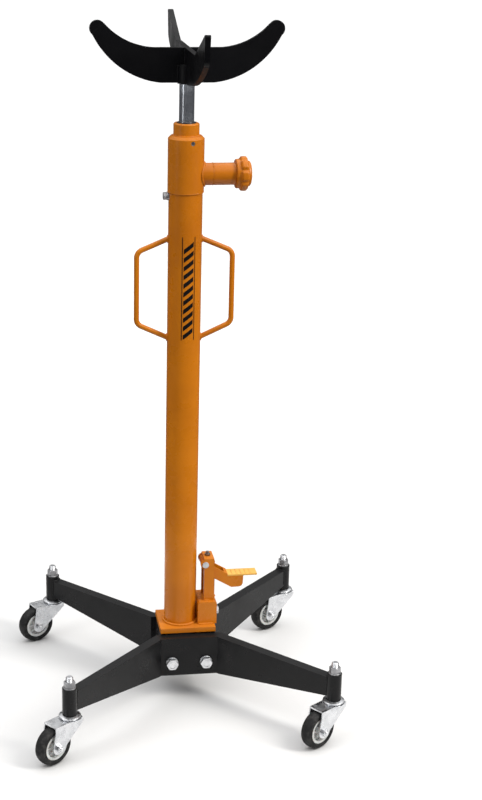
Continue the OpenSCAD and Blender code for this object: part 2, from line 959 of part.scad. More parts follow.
// ---- what is drawn ----
base_plate();
base_side_plates();
tie_tubes();
front_leg_beam();
rear_leg_beam();
leg_sleeves();
leg_bolts();
leg_bolt_nuts();
column_tube();
head_sleeve();
gland_collar();
rod_guide_bush();
rod_wiper();
pressure_cylinder();
cylinder_foot();
left_handle();
right_handle();
filler_plug();
head_set_screw();
release_stub();
release_body();
pump_body();
pump_cylinder();
pump_gland_nut();
pump_bracket();
pedal_pivot_pin();
pedal_stop_screw();
check_valve_plugs();
caster_stems();
caster_stem_nuts();
ram_rod();
ram_piston();
piston_seals();
saddle_hub();
saddle_side_plate();
saddle_long_plate();
saddle_screw();
pedal_lever();
pedal_pad();
pump_plunger();
plunger_spring();
release_knob();
release_spindle();
fl_fork();
fl_axle();
fl_wheel_hub();
fl_tyre();
fr_fork();
fr_axle();
fr_wheel_hub();
fr_tyre();
rl_fork();
rl_axle();
rl_wheel_hub();
rl_tyre();
rr_fork();
rr_axle();
rr_wheel_hub();
rr_tyre();
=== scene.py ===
# The look of a hydraulic transmission jack: materials, fasteners, wheels, weld beads,
# the knob, a plain floor, soft studio light and the camera.
# Lengths are metres in the row frame, and MM turns millimetres into them.
import json
import math
import random

import bmesh
import bpy
from mathutils import Matrix, Vector


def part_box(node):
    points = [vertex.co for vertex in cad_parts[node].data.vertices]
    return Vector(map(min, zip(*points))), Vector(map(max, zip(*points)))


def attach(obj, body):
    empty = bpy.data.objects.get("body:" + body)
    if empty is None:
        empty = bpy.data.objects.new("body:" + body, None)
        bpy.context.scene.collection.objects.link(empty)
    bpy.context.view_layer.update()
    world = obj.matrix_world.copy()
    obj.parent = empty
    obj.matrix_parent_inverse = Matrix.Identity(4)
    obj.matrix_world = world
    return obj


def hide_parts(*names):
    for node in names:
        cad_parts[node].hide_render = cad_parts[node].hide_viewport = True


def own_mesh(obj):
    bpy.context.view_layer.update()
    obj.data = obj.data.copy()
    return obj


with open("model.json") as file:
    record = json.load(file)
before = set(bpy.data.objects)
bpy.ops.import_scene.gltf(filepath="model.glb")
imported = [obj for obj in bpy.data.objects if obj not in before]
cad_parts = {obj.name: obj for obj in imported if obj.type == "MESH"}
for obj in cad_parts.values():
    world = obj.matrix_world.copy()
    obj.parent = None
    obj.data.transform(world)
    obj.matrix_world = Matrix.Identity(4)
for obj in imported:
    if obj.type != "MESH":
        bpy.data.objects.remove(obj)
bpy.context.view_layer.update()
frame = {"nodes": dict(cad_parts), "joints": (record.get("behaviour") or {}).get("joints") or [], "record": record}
nodes = frame["nodes"]
MM = 0.001
random.seed(7)


# ---- shader graphs ----
class Graph:
    """A material's node tree with short helpers. Object coordinates are row frame metres."""

    def __init__(self, name, **constants):
        self.material = bpy.data.materials.new(name)
        self.material.use_nodes = True
        self.tree = self.material.node_tree
        self.shader = self.tree.nodes["Principled BSDF"]
        for socket, value in constants.items():
            self.shader.inputs[socket.replace("_", " ")].default_value = value
        self.place = self.add("ShaderNodeTexCoord").outputs["Object"]

    def add(self, kind, inputs=None, **settings):
        node = self.tree.nodes.new(kind)
        for name, value in settings.items():
            setattr(node, name, value)
        for name, value in (inputs or {}).items():
            self.feed(node.inputs[name], value)
        return node

    def feed(self, socket, value):
        if isinstance(value, bpy.types.NodeSocket):
            self.tree.links.new(value, socket)
        else:
            socket.default_value = value

    def stretched(self, x, y, z):
        """The object coordinates, scaled along each axis."""
        return self.add("ShaderNodeMapping", {"Vector": self.place, "Scale": (x, y, z)}).outputs[0]

    def noise(self, scale, detail=4.0, rough=0.55, where=None, distortion=0.0):
        inputs = {
            "Vector": where or self.place,
            "Scale": scale,
            "Detail": detail,
            "Roughness": rough,
            "Distortion": distortion,
        }
        return self.add("ShaderNodeTexNoise", inputs).outputs["Fac"]

    def ramp(self, value, low, high, at_low=0.0, at_high=1.0):
        """value's range low to high, clamped, mapped to at_low to at_high."""
        inputs = {
            "Value": value,
            "From Min": low,
            "From Max": high,
            "To Min": at_low,
            "To Max": at_high,
        }
        return self.add("ShaderNodeMapRange", inputs, interpolation_type="SMOOTHSTEP").outputs[0]

    def math(self, operation, a, b=0.0):
        return self.add("ShaderNodeMath", {0: a, 1: b}, operation=operation).outputs[0]

    def blend(self, factor, a, b):
        """Colour a where factor is 0 and b where it is 1."""
        mix = self.add("ShaderNodeMix", data_type="RGBA")
        self.feed(mix.inputs[0], factor)
        for socket, value in ((mix.inputs[6], a), (mix.inputs[7], b)):
            if isinstance(value, tuple):
                value = (*value[:3], 1.0)
            self.feed(socket, value)
        return mix.outputs[2]

    def edges(self, width, threshold=0.02, reach=0.2):
        """About 1 on sharp outer and inner edges and 0 on flat faces."""
        bevel = self.add("ShaderNodeBevel", {"Radius": width}, samples=4).outputs[0]
        flat = self.add("ShaderNodeNewGeometry").outputs["Normal"]
        same = self.add("ShaderNodeVectorMath", {0: bevel, 1: flat}, operation="DOT_PRODUCT")
        return self.ramp(same.outputs["Value"], 1.0 - threshold, 1.0 - reach)

    def facing_up(self, low=0.5, high=0.95):
        """1 on surfaces that look up, where dust settles."""
        normal = self.add("ShaderNodeNewGeometry").outputs["Normal"]
        z = self.add("ShaderNodeSeparateXYZ", {0: normal}).outputs["Z"]
        return self.ramp(z, low, high)

    def rounded(self, width):
        """A normal that turns smoothly over every edge, as paint and pressed steel do."""
        return self.add("ShaderNodeBevel", {"Radius": width}, samples=6).outputs[0]

    def bump(self, heights, normal=None):
        """Stacks (height, strength, distance) bumps on a normal and returns the result."""
        for height, strength, distance in heights:
            inputs = {"Height": height, "Strength": strength, "Distance": distance}
            if normal is not None:
                inputs["Normal"] = normal
            normal = self.add("ShaderNodeBump", inputs).outputs[0]
        return normal

    def finish(self, colour, roughness, normal=None):
        """Feeds the shader and returns the finished material."""
        wanted = {"Base Color": colour, "Roughness": roughness, "Normal": normal}
        for socket, value in wanted.items():
            if value is not None:
                self.feed(self.shader.inputs[socket], value)
        return self.material


def paint(name, deep, bright, bare, gloss, wear, shine, dust):
    """Enamel paint: slow colour drift, orange peel, dust, and wear along the edges."""
    g = Graph(name, Specular_IOR_Level=shine)
    drift = g.ramp(g.noise(7.0, 3.0), 0.3, 0.7)
    body = g.blend(drift, deep, bright)
    specks = g.ramp(g.noise(900.0, 2.0), 0.63, 0.72, 0.0, 0.25)
    body = g.blend(specks, body, tuple(c * 0.55 for c in deep))
    dusty = g.math("MULTIPLY", g.facing_up(), g.ramp(g.noise(45.0, 5.0), 0.35, 0.75, 0.02, dust))
    body = g.blend(dusty, body, tuple(0.25 + 0.5 * c for c in bright))
    broken = g.ramp(g.noise(260.0, 5.0, 0.65), wear, wear + 0.12)
    chips = g.math("MULTIPLY", g.edges(0.0009), broken)
    body = g.blend(chips, body, bare)
    smear = g.ramp(g.noise(24.0, 5.0, 0.6), 0.3, 0.75, gloss - 0.05, gloss + 0.10)
    roughness = g.math("ADD", smear, g.math("MULTIPLY", dusty, 0.5))
    skin_noise = g.noise(420.0, 2.0)
    dents = g.noise(60.0, 3.0)
    heights = [(skin_noise, 0.10, 0.0006), (dents, 0.06, 0.002)]
    return g.finish(body, roughness, g.bump(heights, g.rounded(0.0010)))


def plated(name, tint, stain, gloss, grain=(1, 1, 1), brush=0.0):
    """Zinc plate or bare steel: cloudy tint, fine brushing, and darker colour in patches along the edges and in
    the corners.
    """
    g = Graph(name, Metallic=1.0)
    cloud = g.ramp(g.noise(70.0, 4.0, 0.6), 0.35, 0.7)
    body = g.blend(cloud, tint, stain)
    patches = g.ramp(g.noise(180.0), 0.45, 0.6, 0.0, 0.5)
    # darker colour in patches along the edges and in the corners
    dark_edge_patches = g.math("MULTIPLY", g.edges(0.0012, 0.03, 0.4), patches)
    body = g.blend(dark_edge_patches, body, tuple(c * 0.45 for c in stain))
    roughness = g.ramp(g.noise(130.0, 4.0), 0.3, 0.7, gloss - 0.07, gloss + 0.12)
    heights = [(g.noise(500.0, 2.0), 0.08, 0.0004)]
    if brush:
        heights.append((g.noise(900.0, 3.0, 0.6, g.stretched(*grain)), brush, 0.0003))
    return g.finish(body, roughness, g.bump(heights, g.rounded(0.0009)))


def chrome_material():
    """Hard chrome with faint ground rings and an oil film."""
    g = Graph("rod_chrome_look", Metallic=1.0)
    rings = g.noise(60.0, 3.0, 0.6, g.stretched(0.4, 0.4, 40.0))
    film = g.ramp(g.noise(26.0, 4.0), 0.4, 0.65)
    body = g.blend(film, (0.66, 0.69, 0.73), (0.50, 0.53, 0.57))
    roughness = g.math("ADD", g.ramp(rings, 0.3, 0.7, 0.07, 0.16), g.math("MULTIPLY", film, 0.08))
    return g.finish(body, roughness, g.bump([(rings, 0.05, 0.0003)]))


def rubber(name, tone, dust):
    """Rubber: near black with a fine grain and pale dust in the grain."""
    g = Graph(name, Specular_IOR_Level=0.25)
    grain = g.noise(700.0, 3.0, 0.6)
    scuff = g.ramp(g.noise(90.0, 5.0, 0.65), 0.45, 0.75, 0.0, dust)
    body = g.blend(scuff, (tone, tone, tone * 1.05), (0.10, 0.095, 0.09))
    roughness = g.ramp(g.noise(60.0, 4.0), 0.3, 0.7, 0.55, 0.85)
    return g.finish(body, roughness, g.bump([(grain, 0.25, 0.0005)]))


def hub_plastic():
    """Moulded grey nylon: flow marks, scuffs and patches of grime."""
    g = Graph("wheel_hub_look", Subsurface_Weight=0.05)
    flow = g.ramp(g.noise(50.0, 4.0, 0.55, None, 0.6), 0.3, 0.7)
    body = g.blend(flow, (0.50, 0.50, 0.49), (0.66, 0.66, 0.65))
    dirt = g.ramp(g.noise(150.0, 5.0, 0.7), 0.5, 0.75, 0.0, 0.35)
    body = g.blend(dirt, body, (0.20, 0.18, 0.16))
    roughness = g.ramp(g.noise(110.0, 4.0), 0.3, 0.7, 0.38, 0.62)
    normal = g.bump([(g.noise(520.0, 2.0), 0.10, 0.0004)], g.rounded(0.0012))
    return g.finish(body, roughness, normal)


UPRIGHT_GRAIN = (1, 1, 12)
LOOKS = {
    "orange_paint": paint(
        "orange_paint_look",
        deep=(0.50, 0.145, 0.004), bright=(0.60, 0.185, 0.005), bare=(0.18, 0.07, 0.01),
        gloss=0.28, wear=0.62, shine=0.25, dust=0.06,
    ),
    "pedal_paint": paint(
        "pedal_paint_look",
        deep=(0.72, 0.38, 0.06), bright=(0.82, 0.48, 0.10), bare=(0.45, 0.40, 0.30),
        gloss=0.36, wear=0.52, shine=0.4, dust=0.2,
    ),
    "black_paint": paint(
        "black_paint_look",
        deep=(0.004, 0.004, 0.0045), bright=(0.008, 0.008, 0.0085), bare=(0.04, 0.04, 0.04),
        gloss=0.30, wear=0.62, shine=0.2, dust=0.02,
    ),
    "saddle_black": paint(
        "saddle_black_look",
        deep=(0.002, 0.002, 0.0025), bright=(0.004, 0.004, 0.005), bare=(0.04, 0.04, 0.04),
        gloss=0.38, wear=0.60, shine=0.12, dust=0.015,
    ),
    "rod_chrome": chrome_material(),
    "zinc": plated("zinc_look", (0.78, 0.79, 0.81), (0.62, 0.63, 0.65), gloss=0.30),
    "dull_zinc": plated("dull_zinc_look", (0.42, 0.42, 0.43), (0.28, 0.28, 0.29), gloss=0.40),
    "machined_steel": plated(
        "machined_steel_look", (0.30, 0.30, 0.31), (0.20, 0.20, 0.21),
        gloss=0.34, grain=UPRIGHT_GRAIN, brush=0.15,
    ),
    "spring_steel": plated(
        "spring_steel_look", (0.38, 0.38, 0.39), (0.26, 0.26, 0.27), gloss=0.32
    ),
    "bush_brass": plated(
        "bush_brass_look", (0.60, 0.42, 0.16), (0.46, 0.31, 0.12),
        gloss=0.28, grain=UPRIGHT_GRAIN, brush=0.12,
    ),
    "seal_rubber": rubber("seal_rubber_look", tone=0.012, dust=0.10),
    "tyre": rubber("tyre_look", tone=0.010, dust=0.35),
    "wheel_hub": hub_plastic(),
}


def dress_nodes():
    """Gives every CAD node its slot's finished material."""
    for part in frame["record"]["subparts"]:
        shown = nodes[part["node"]]
        shown.data.materials.clear()
        shown.data.materials.append(LOOKS[part["material_slot"]])


# ---- mesh building ----
def skin(bm, rings, loop=False):
    """Joins closed rings of equal length into a tube, capped unless it is a loop."""
    rows = [[bm.verts.new(point) for point in ring] for ring in rings]
    following = rows[1:] + rows[:1] if loop else rows[1:]
    for row, after in zip(rows, following):
        for i in range(len(row)):
            j = (i + 1) % len(row)
            bm.faces.new((row[i], row[j], after[j], after[i]))
    if not loop:
        bm.faces.new(rows[0][::-1])
        bm.faces.new(rows[-1])


def axis_at(origin, direction):
    """A placement whose Z axis points along direction."""
    turn = Vector(direction).to_track_quat("Z", "X").to_matrix().to_4x4()
    return Matrix.Translation(origin) @ turn


def circle_points(place, radius, height, sides):
    """A ring of points round place's Z axis."""
    angles = [2 * math.pi * i / sides for i in range(sides)]
    return [place @ Vector((radius * math.cos(a), radius * math.sin(a), height)) for a in angles]


def lathe(bm, place, profile, sides=64, loop=False):
    """Turns a profile of (height, radius) pairs round place's Z axis."""
    skin(bm, [circle_points(place, radius, height, sides) for height, radius in profile], loop)


def hexagon(bm, place, flats, low, high, bore=0.0):
    """A hexagon with chamfered corners between two heights. It is a nut if it has a bore."""
    half = flats / 2
    face = half * 0.985
    chamfer = math.tan(math.radians(30))
    angles = [math.radians(5 * i) for i in range(72)]

    def ring(radius_at, height_at):
        points = []
        for angle in angles:
            corner = half / math.cos((angle + math.pi / 6) % (math.pi / 3) - math.pi / 6)
            radius = radius_at(corner)
            height = height_at(corner)
            spot = Vector((radius * math.cos(angle), radius * math.sin(angle), height))
            points.append(place @ spot)
        return points

    def flat(radius, height):
        return ring(lambda corner: radius, lambda corner: height)

    rings = [
        flat(face, low),
        ring(lambda corner: corner, lambda corner: low + (corner - half) * chamfer),
        ring(lambda corner: corner, lambda corner: high - (corner - half) * chamfer),
        flat(face, high),
    ]
    if bore:
        sink = 0.7 * MM
        rings += [flat(bore + sink, high), flat(bore, high - sink)]
        rings += [flat(bore, low + sink), flat(bore + sink, low)]
    else:
        dish = 0.5 * MM
        rings += [flat(half * 0.72, high), flat(half * 0.62, high - dish)]
    skin(bm, rings, loop=bool(bore))


def thread(bm, place, radius, pitch, low, high):
    """A threaded stud between two heights, with a bevelled end."""
    sides = 40
    levels = round((high - low) / pitch * 6)
    rings = []
    for k in range(levels + 1):
        height = low + (high - low) * k / levels
        bevel = radius - 1.6 * MM + (high - height)
        ring = []
        for i in range(sides):
            angle = 2 * math.pi * i / sides
            phase = (height / pitch - i / sides) % 1.0
            groove = (1.0 - abs(2.0 * phase - 1.0)) * 0.5 * pitch
            r = min(radius - groove, bevel)
            ring.append(place @ Vector((r * math.cos(angle), r * math.sin(angle), height)))
        rings.append(ring)
    skin(bm, rings)


def sweep(bm, path, radius_at, sides=10, loop=False):
    """A round rod along a dense path. radius_at gives the radius at each point."""
    count = len(path)
    side = None
    rings = []
    for i, point in enumerate(path):
        ahead = path[(i + 1) % count] if loop or i + 1 < count else point
        behind = path[i - 1] if loop or i > 0 else point
        along = (ahead - behind).normalized()
        if side is None:
            side = along.orthogonal().normalized()
        side = (side - along * side.dot(along)).normalized()
        over = along.cross(side)
        angles = [2 * math.pi * k / sides for k in range(sides)]
        radius = radius_at(i)
        rings.append([point + (side * math.cos(a) + over * math.sin(a)) * radius for a in angles])
    skin(bm, rings, loop)


def respaced(path, step, loop=False):
    """The same path with points about step apart."""
    ends = path + path[:1] if loop else path
    runs = [(b - a).length for a, b in zip(ends, ends[1:])]
    total = sum(runs)
    count = max(4, round(total / step))
    points = []
    leg = 0
    passed = 0.0
    for k in range(count + (0 if loop else 1)):
        wanted = total * k / count
        while leg < len(runs) - 1 and passed + runs[leg] < wanted:
            passed += runs[leg]
            leg += 1
        share = (wanted - passed) / max(runs[leg], 1e-9)
        points.append(ends[leg].lerp(ends[leg + 1], min(share, 1.0)))
    return points


def weld(bm, path, radius, loop=False):
    """A weld bead: overlapping ripples of slightly uneven size."""
    step = 0.6 * MM
    ripple = 2.8 * MM
    points = respaced(path, step, loop)
    sizes = [random.uniform(0.88, 1.08) for _ in range(int(len(points) * step / ripple) + 2)]

    def radius_at(i):
        place = i * step / ripple
        phase = place % 1.0
        size = sizes[int(place)] * (1 - phase) + sizes[int(place) + 1] * phase
        ends = 1.0 if loop else min(1.0, 0.55 + 0.25 * min(i, len(points) - 1 - i))
        return radius * size * ends * (0.86 + 0.16 * math.sin(math.pi * phase) ** 0.6)

    sweep(bm, points, radius_at, 12, loop)


def make_piece(name, bm, slot, body, replaces=(), crease=35.0, look=None):
    """Finishes a mesh as a piece that rides on a body. It wears its slot's look, unless look
    names another."""
    bmesh.ops.recalc_face_normals(bm, faces=bm.faces)
    mesh = bpy.data.meshes.new(name)
    bm.to_mesh(mesh)
    bm.free()
    mesh.shade_smooth()
    mesh.set_sharp_from_angle(angle=math.radians(crease))
    mesh.materials.append(LOOKS[look or slot])
    piece = bpy.data.objects.new(name, mesh)
    bpy.context.scene.collection.objects.link(piece)
    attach(piece, body)
    if replaces:
        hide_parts(*replaces)
    return piece


# ---- the places that the pieces go, from the frame ----
def joint_place(name):
    """A joint's place and axis at rest."""
    joint = next(j for j in frame["joints"] if j["name"] == name)
    return Vector(joint["pos_m"]), Vector(joint["axis"])


UP = Vector((0.0, 0.0, 1.0))
COS30 = math.cos(math.radians(30))
CORNERS = ("fl", "fr", "rl", "rr")
STEMS = {corner: joint_place(corner + "_swivel")[0] for corner in CORNERS}
column_low, column_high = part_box("column_tube")
TUBE_R = column_high.x
HEAD_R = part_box("head_sleeve")[1].x


# ---- fasteners ----
def washer(bm, place, bore, radius, low, high):
    """A flat washer with a softened upper rim."""
    rim = 0.4 * MM
    profile = [(low, bore), (low, radius), (high - rim, radius), (high, radius - rim), (high, bore)]
    lathe(bm, place, profile, 64, loop=True)


def make_leg_bolts():
    """Two long bolts from front to back: dished hexagon heads, plain shanks, threaded ends."""
    low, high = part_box("leg_bolts")
    washer_low, washer_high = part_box("leg_bolt_nuts")
    centre = (low + high) / 2
    flats = high.z - low.z
    half_spacing = (high.x - low.x - flats / COS30) / 2
    shank = 7 * MM
    pitch = 2 * MM
    collar = 12 * MM
    washer_t = 2.5 * MM
    nut_height = 11 * MM
    head_face = -washer_low.y
    nut_face = washer_high.y
    nut_back = nut_face - nut_height
    bolts = bmesh.new()
    nuts = bmesh.new()
    for side in (-1, 1):
        x = centre.x + side * half_spacing
        to_front = axis_at((x, 0, centre.z), (0, -1, 0))
        to_back = axis_at((x, 0, centre.z), (0, 1, 0))
        hexagon(bolts, to_front, flats, head_face, -low.y)
        lathe(bolts, to_back, [(-head_face, shank), (nut_back, shank)], 40)
        thread(bolts, to_back, shank, pitch, nut_back, high.y)
        hexagon(nuts, to_back, flats, nut_back, nut_face, shank * 0.98)
        washer(nuts, to_front, shank, collar, head_face - washer_t, head_face)
        washer(nuts, to_back, shank, collar, nut_back - washer_t, nut_back)
    make_piece("leg_bolt_set", bolts, "zinc", "frame", ["leg_bolts"], 25)
    make_piece("leg_bolt_nut_set", nuts, "zinc", "frame", ["leg_bolt_nuts"], 25)


# A caster's stem: heights above the floor, and its radius
RACE_LOW = 82.3 * MM
SLEEVE_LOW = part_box("leg_sleeves")[0].z
SLEEVE_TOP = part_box("leg_sleeves")[1].z
STEM_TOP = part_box("caster_stems")[1].z
STEM_R = 7 * MM


def make_stems():
    """Each caster's stem: rivet, kingpin, dished race, plain shank, thread and nut."""
    stems = bmesh.new()
    nuts = bmesh.new()
    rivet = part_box("caster_stems")[0].z
    race_r = 21 * MM
    pitch = 2 * MM
    washer_r = 12 * MM
    washer_t = 2.5 * MM
    nut_flats = 19 * MM
    nut_height = 11 * MM
    nut_low = SLEEVE_TOP + washer_t + 0.1 * MM
    thread_low = SLEEVE_TOP - 1 * MM
    for corner in CORNERS:
        x, y, _ = STEMS[corner]
        place = axis_at((x, y, 0), UP)
        lathe(stems, place, [
            (rivet, 7 * MM), (rivet + 0.6 * MM, 9.6 * MM), (rivet + 1.6 * MM, 10.8 * MM),
            (rivet + 3.4 * MM, 11 * MM), (rivet + 3.5 * MM, STEM_R), (RACE_LOW, STEM_R),
            (RACE_LOW, race_r - 1 * MM), (RACE_LOW + 0.4 * MM, race_r - 0.2 * MM),
            (RACE_LOW + 1.2 * MM, race_r), (RACE_LOW + 2.2 * MM, race_r - 0.5 * MM),
            (RACE_LOW + 2.8 * MM, race_r - 2 * MM), (SLEEVE_LOW - 0.5 * MM, 15 * MM),
            (SLEEVE_LOW, 13.5 * MM), (SLEEVE_LOW, STEM_R), (thread_low, STEM_R),
        ])
        thread(stems, place, STEM_R, pitch, thread_low, STEM_TOP)
        washer(nuts, place, STEM_R, washer_r, SLEEVE_TOP, SLEEVE_TOP + washer_t)
        turned = place @ Matrix.Rotation(random.uniform(0.0, 1.0), 4, "Z")
        hexagon(nuts, turned, nut_flats, nut_low, nut_low + nut_height, STEM_R * 0.98)
    make_piece("caster_stem_set", stems, "zinc", "frame", ["caster_stems"], 25)
    make_piece("caster_nut_set", nuts, "zinc", "frame", ["caster_stem_nuts"], 25, "dull_zinc")


def make_axles():
    """The bolt through each fork: hexagon head, shank, thread and nut."""
    cheek = 16.8 * MM
    flats = 13 * MM
    radius = 4 * MM
    pitch = 1.25 * MM
    head_height = 5 * MM
    nut_height = 6.5 * MM
    proud = 2 * MM
    for corner in CORNERS:
        place = axis_at(*joint_place(corner + "_roll"))
        bolt = bmesh.new()
        back = place @ Matrix.Rotation(math.pi, 4, "X")
        hexagon(bolt, back, flats, cheek, cheek + head_height)
        lathe(bolt, place, [(-cheek, radius), (cheek, radius)], 32)
        thread(bolt, place, radius, pitch, cheek, cheek + nut_height + proud)
        hexagon(bolt, place, flats, cheek, cheek + nut_height, radius * 0.98)
        make_piece(corner + "_axle_bolt", bolt, "zinc", corner + "_caster", [corner + "_axle"], 25)


def make_tyres():
    """Rubber tread with a crowned face, a moulding seam and a stepped sidewall. The profile
    runs from the middle of the tread to the rim, as (height, radius) in millimetres."""
    half = [
        (0.0, 37.48), (0.25, 37.48), (0.45, 37.30), (2.5, 37.25), (5.0, 36.95), (7.5, 36.35),
        (9.5, 35.45), (10.8, 34.2), (11.4, 32.9), (11.45, 31.9), (11.0, 31.5), (11.0, 30.1),
        (11.4, 29.7), (11.4, 27.2), (10.9, 26.2),
    ]
    outline = [(-h * MM, r * MM) for h, r in half[:0:-1]] + [(h * MM, r * MM) for h, r in half]
    for corner in CORNERS:
        tyre = bmesh.new()
        lathe(tyre, axis_at(*joint_place(corner + "_roll")), outline, 128, loop=True)
        make_piece(corner + "_tread", tyre, "tyre", corner + "_wheel", [corner + "_tyre"], 40)


def make_wheel_ribs():
    """Eight moulded ribs between boss and rim on both sides of each hub."""
    inner = 9.6 * MM
    middle = 15 * MM
    outer = 21.6 * MM
    web = 3.6 * MM
    rise = 7.6 * MM
    half_t = 1.1 * MM
    stations = ((inner, rise + 2 * MM), (middle, rise - 1 * MM), (outer, rise))
    for corner in CORNERS:
        place = axis_at(*joint_place(corner + "_roll"))
        ribs = bmesh.new()
        for side in (-1, 1):
            for k in range(8):
                turned = place @ Matrix.Rotation(k * math.pi / 4, 4, "Z")
                rings = []
                for radius, crest in stations:
                    shoulder = crest - 0.4 * MM
                    section = (
                        (-half_t * 1.3, web), (-half_t, shoulder), (-half_t * 0.5, crest),
                        (half_t * 0.5, crest), (half_t, shoulder), (half_t * 1.3, web),
                    )
                    rings.append([turned @ Vector((radius, y, side * z)) for y, z in section])
                skin(ribs, rings)
        make_piece(corner + "_hub_ribs", ribs, "wheel_hub", corner + "_wheel", [], 40)


# ---- weld beads ----
def ring_path(centre, radius, count=96):
    """A level circle of points."""
    return circle_points(Matrix.Translation(centre), radius, 0.0, count)


def cope_path(start, along, rod_r, tube_r, count=72):
    """Where a round rod through start meets the upright tube on the ram axis."""
    along = Vector(along).normalized()
    side = along.orthogonal().normalized()
    over = along.cross(side)
    points = []
    for i in range(count):
        a = 2 * math.pi * i / count
        point = Vector(start) + (side * math.cos(a) + over * math.sin(a)) * rod_r
        qa = along.x ** 2 + along.y ** 2
        qb = 2 * (point.x * along.x + point.y * along.y)
        qc = point.x ** 2 + point.y ** 2 - tube_r ** 2
        t = (-qb + math.sqrt(max(qb * qb - 4 * qa * qc, 0.0))) / (2 * qa)
        points.append(point + along * t)
    return points


def make_column_welds():
    """Painted beads round the column foot, the head sleeve, the collar, handles and stub."""
    beads = bmesh.new()
    foot = column_low.z
    head_low, head_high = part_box("head_sleeve")
    weld(beads, ring_path((0, 0, foot + 1.2 * MM), TUBE_R + 1.4 * MM), 2.9 * MM, loop=True)
    weld(beads, ring_path((0, 0, head_low.z + 0.2 * MM), TUBE_R + 0.9 * MM), 1.5 * MM, loop=True)
    collar_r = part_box("gland_collar")[1].x
    collar_foot = (0, 0, head_high.z + 0.5 * MM)
    weld(beads, ring_path(collar_foot, collar_r + 0.3 * MM), 1.3 * MM, loop=True)
    handle_r = 5 * MM
    grip_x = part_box("right_handle")[1].x - handle_r
    # where each end of a handle meets the column, and the corner it comes from
    upper_end, upper_corner = 928 * MM, 903 * MM
    lower_end, lower_corner = 737 * MM, 764 * MM
    for side in (-1, 1):
        for end_z, corner_z in ((upper_end, upper_corner), (lower_end, lower_corner)):
            corner = Vector((side * grip_x, 0, corner_z))
            end = Vector((side * TUBE_R, 0, end_z))
            path = cope_path(end, corner - end, handle_r + 0.4 * MM, TUBE_R + 0.4 * MM)
            weld(beads, path, 1.7 * MM, loop=True)
    stub_low, stub_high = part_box("release_stub")
    stub_r = (stub_high.z - stub_low.z) / 2
    stub_z = (stub_high.z + stub_low.z) / 2
    path = cope_path((0, 0, stub_z), (1, 0, 0), stub_r + 0.8 * MM, HEAD_R + 0.6 * MM, 120)
    weld(beads, path, 2.3 * MM, loop=True)
    seam_x = stub_high.x + 1 * MM
    seam_r = stub_r * 0.965
    angles = [2 * math.pi * i / 96 for i in range(96)]
    seam = [Vector((seam_x, seam_r * math.cos(a), stub_z + seam_r * math.sin(a))) for a in angles]
    weld(beads, seam, 1.2 * MM, loop=True)
    make_piece("column_weld_beads", beads, "orange_paint", "frame", [], 60)


def make_pump_welds():
    """Beads round the pump block's foot, its bracket lugs and its cylinder."""
    beads = bmesh.new()
    low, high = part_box("pump_body")
    plate_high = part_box("base_plate")[1]
    edge = plate_high.x - 2 * MM
    for y in (low.y - 0.4 * MM, high.y + 0.4 * MM):
        path = [Vector((x, y, low.z + 0.6 * MM)) for x in (low.x + 2 * MM, edge)]
        weld(beads, path, 2.2 * MM)
    lug_low, lug_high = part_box("pump_bracket")
    lug_t = 6 * MM
    sides = ((lug_low.y, -1), (lug_low.y + lug_t, 1), (lug_high.y - lug_t, -1), (lug_high.y, 1))
    for y, away in sides:
        spot = Vector((lug_low.x, y + away * 0.3 * MM, high.z + 0.4 * MM))
        path = [spot + Vector((7 * MM, 0, 0)), spot + Vector((19 * MM, 0, 0))]
        weld(beads, path, 1.4 * MM)
    cylinder_low, cylinder_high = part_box("pump_cylinder")
    centre = (cylinder_low + cylinder_high) / 2
    radius = (cylinder_high.x - cylinder_low.x) / 2
    foot = (centre.x, centre.y, high.z + 0.5 * MM)
    weld(beads, ring_path(foot, radius + 0.6 * MM, 48), 1.4 * MM, loop=True)
    make_piece("pump_weld_beads", beads, "orange_paint", "frame", [], 60)


def make_leg_welds():
    """An inverted U of weld where each leg beam meets its sleeve."""
    beads = bmesh.new()
    beam_end = Vector((60 * MM, 52 * MM, 0))
    base_x = sum(stem.x for stem in STEMS.values()) / 4
    half_w = 9.6 * MM
    sleeve_r = 14.2 * MM
    low_z = 98 * MM
    top_z = 131.4 * MM
    for stem in STEMS.values():
        sign_x = 1 if stem.x > base_x else -1
        sign_y = 1 if stem.y > 0 else -1
        near = Vector((base_x + sign_x * beam_end.x, sign_y * beam_end.y, 0))
        inward = (near - Vector((stem.x, stem.y, 0))).normalized()
        across = Vector((-inward.y, inward.x, 0))
        spread = math.asin(half_w / sleeve_r)

        def at(angle, z):
            reach = inward * math.cos(angle) + across * math.sin(angle)
            return Vector((stem.x, stem.y, z)) + reach * sleeve_r

        path = [at(-spread, low_z), at(-spread, top_z)]
        path += [at(-spread + 2 * spread * k / 10, top_z + 0.8 * MM) for k in range(11)]
        path += [at(spread, top_z), at(spread, low_z)]
        weld(beads, path, 1.9 * MM)
    make_piece("leg_weld_beads", beads, "black_paint", "frame", [], 60)


def make_saddle_welds():
    """Upright beads between hub and plates, and in the corners where the plates cross."""
    beads = bmesh.new()
    hub_low, hub_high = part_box("saddle_hub")
    seat_z = 1279.5 * MM
    half_t = 5 * MM
    hub_r = hub_high.x
    for k in range(4):
        turn = Matrix.Rotation(k * math.pi / 2, 3, "Z")
        for side in (-1, 1):
            reach = math.sqrt(hub_r ** 2 - half_t ** 2) + 0.2 * MM
            foot = turn @ Vector((reach, side * (half_t + 0.4 * MM), 0))
            path = [foot + UP * (hub_low.z + 4 * MM), foot + UP * (hub_high.z - 1 * MM)]
            weld(beads, path, 1.9 * MM)
        corner = turn @ Vector((half_t + 0.3 * MM, half_t + 0.3 * MM, 0))
        path = [corner + UP * (hub_high.z + 0.5 * MM), corner + UP * (seat_z - 2 * MM)]
        weld(beads, path, 1.8 * MM)
    make_piece("saddle_weld_beads", beads, "saddle_black", "saddle", [], 60)


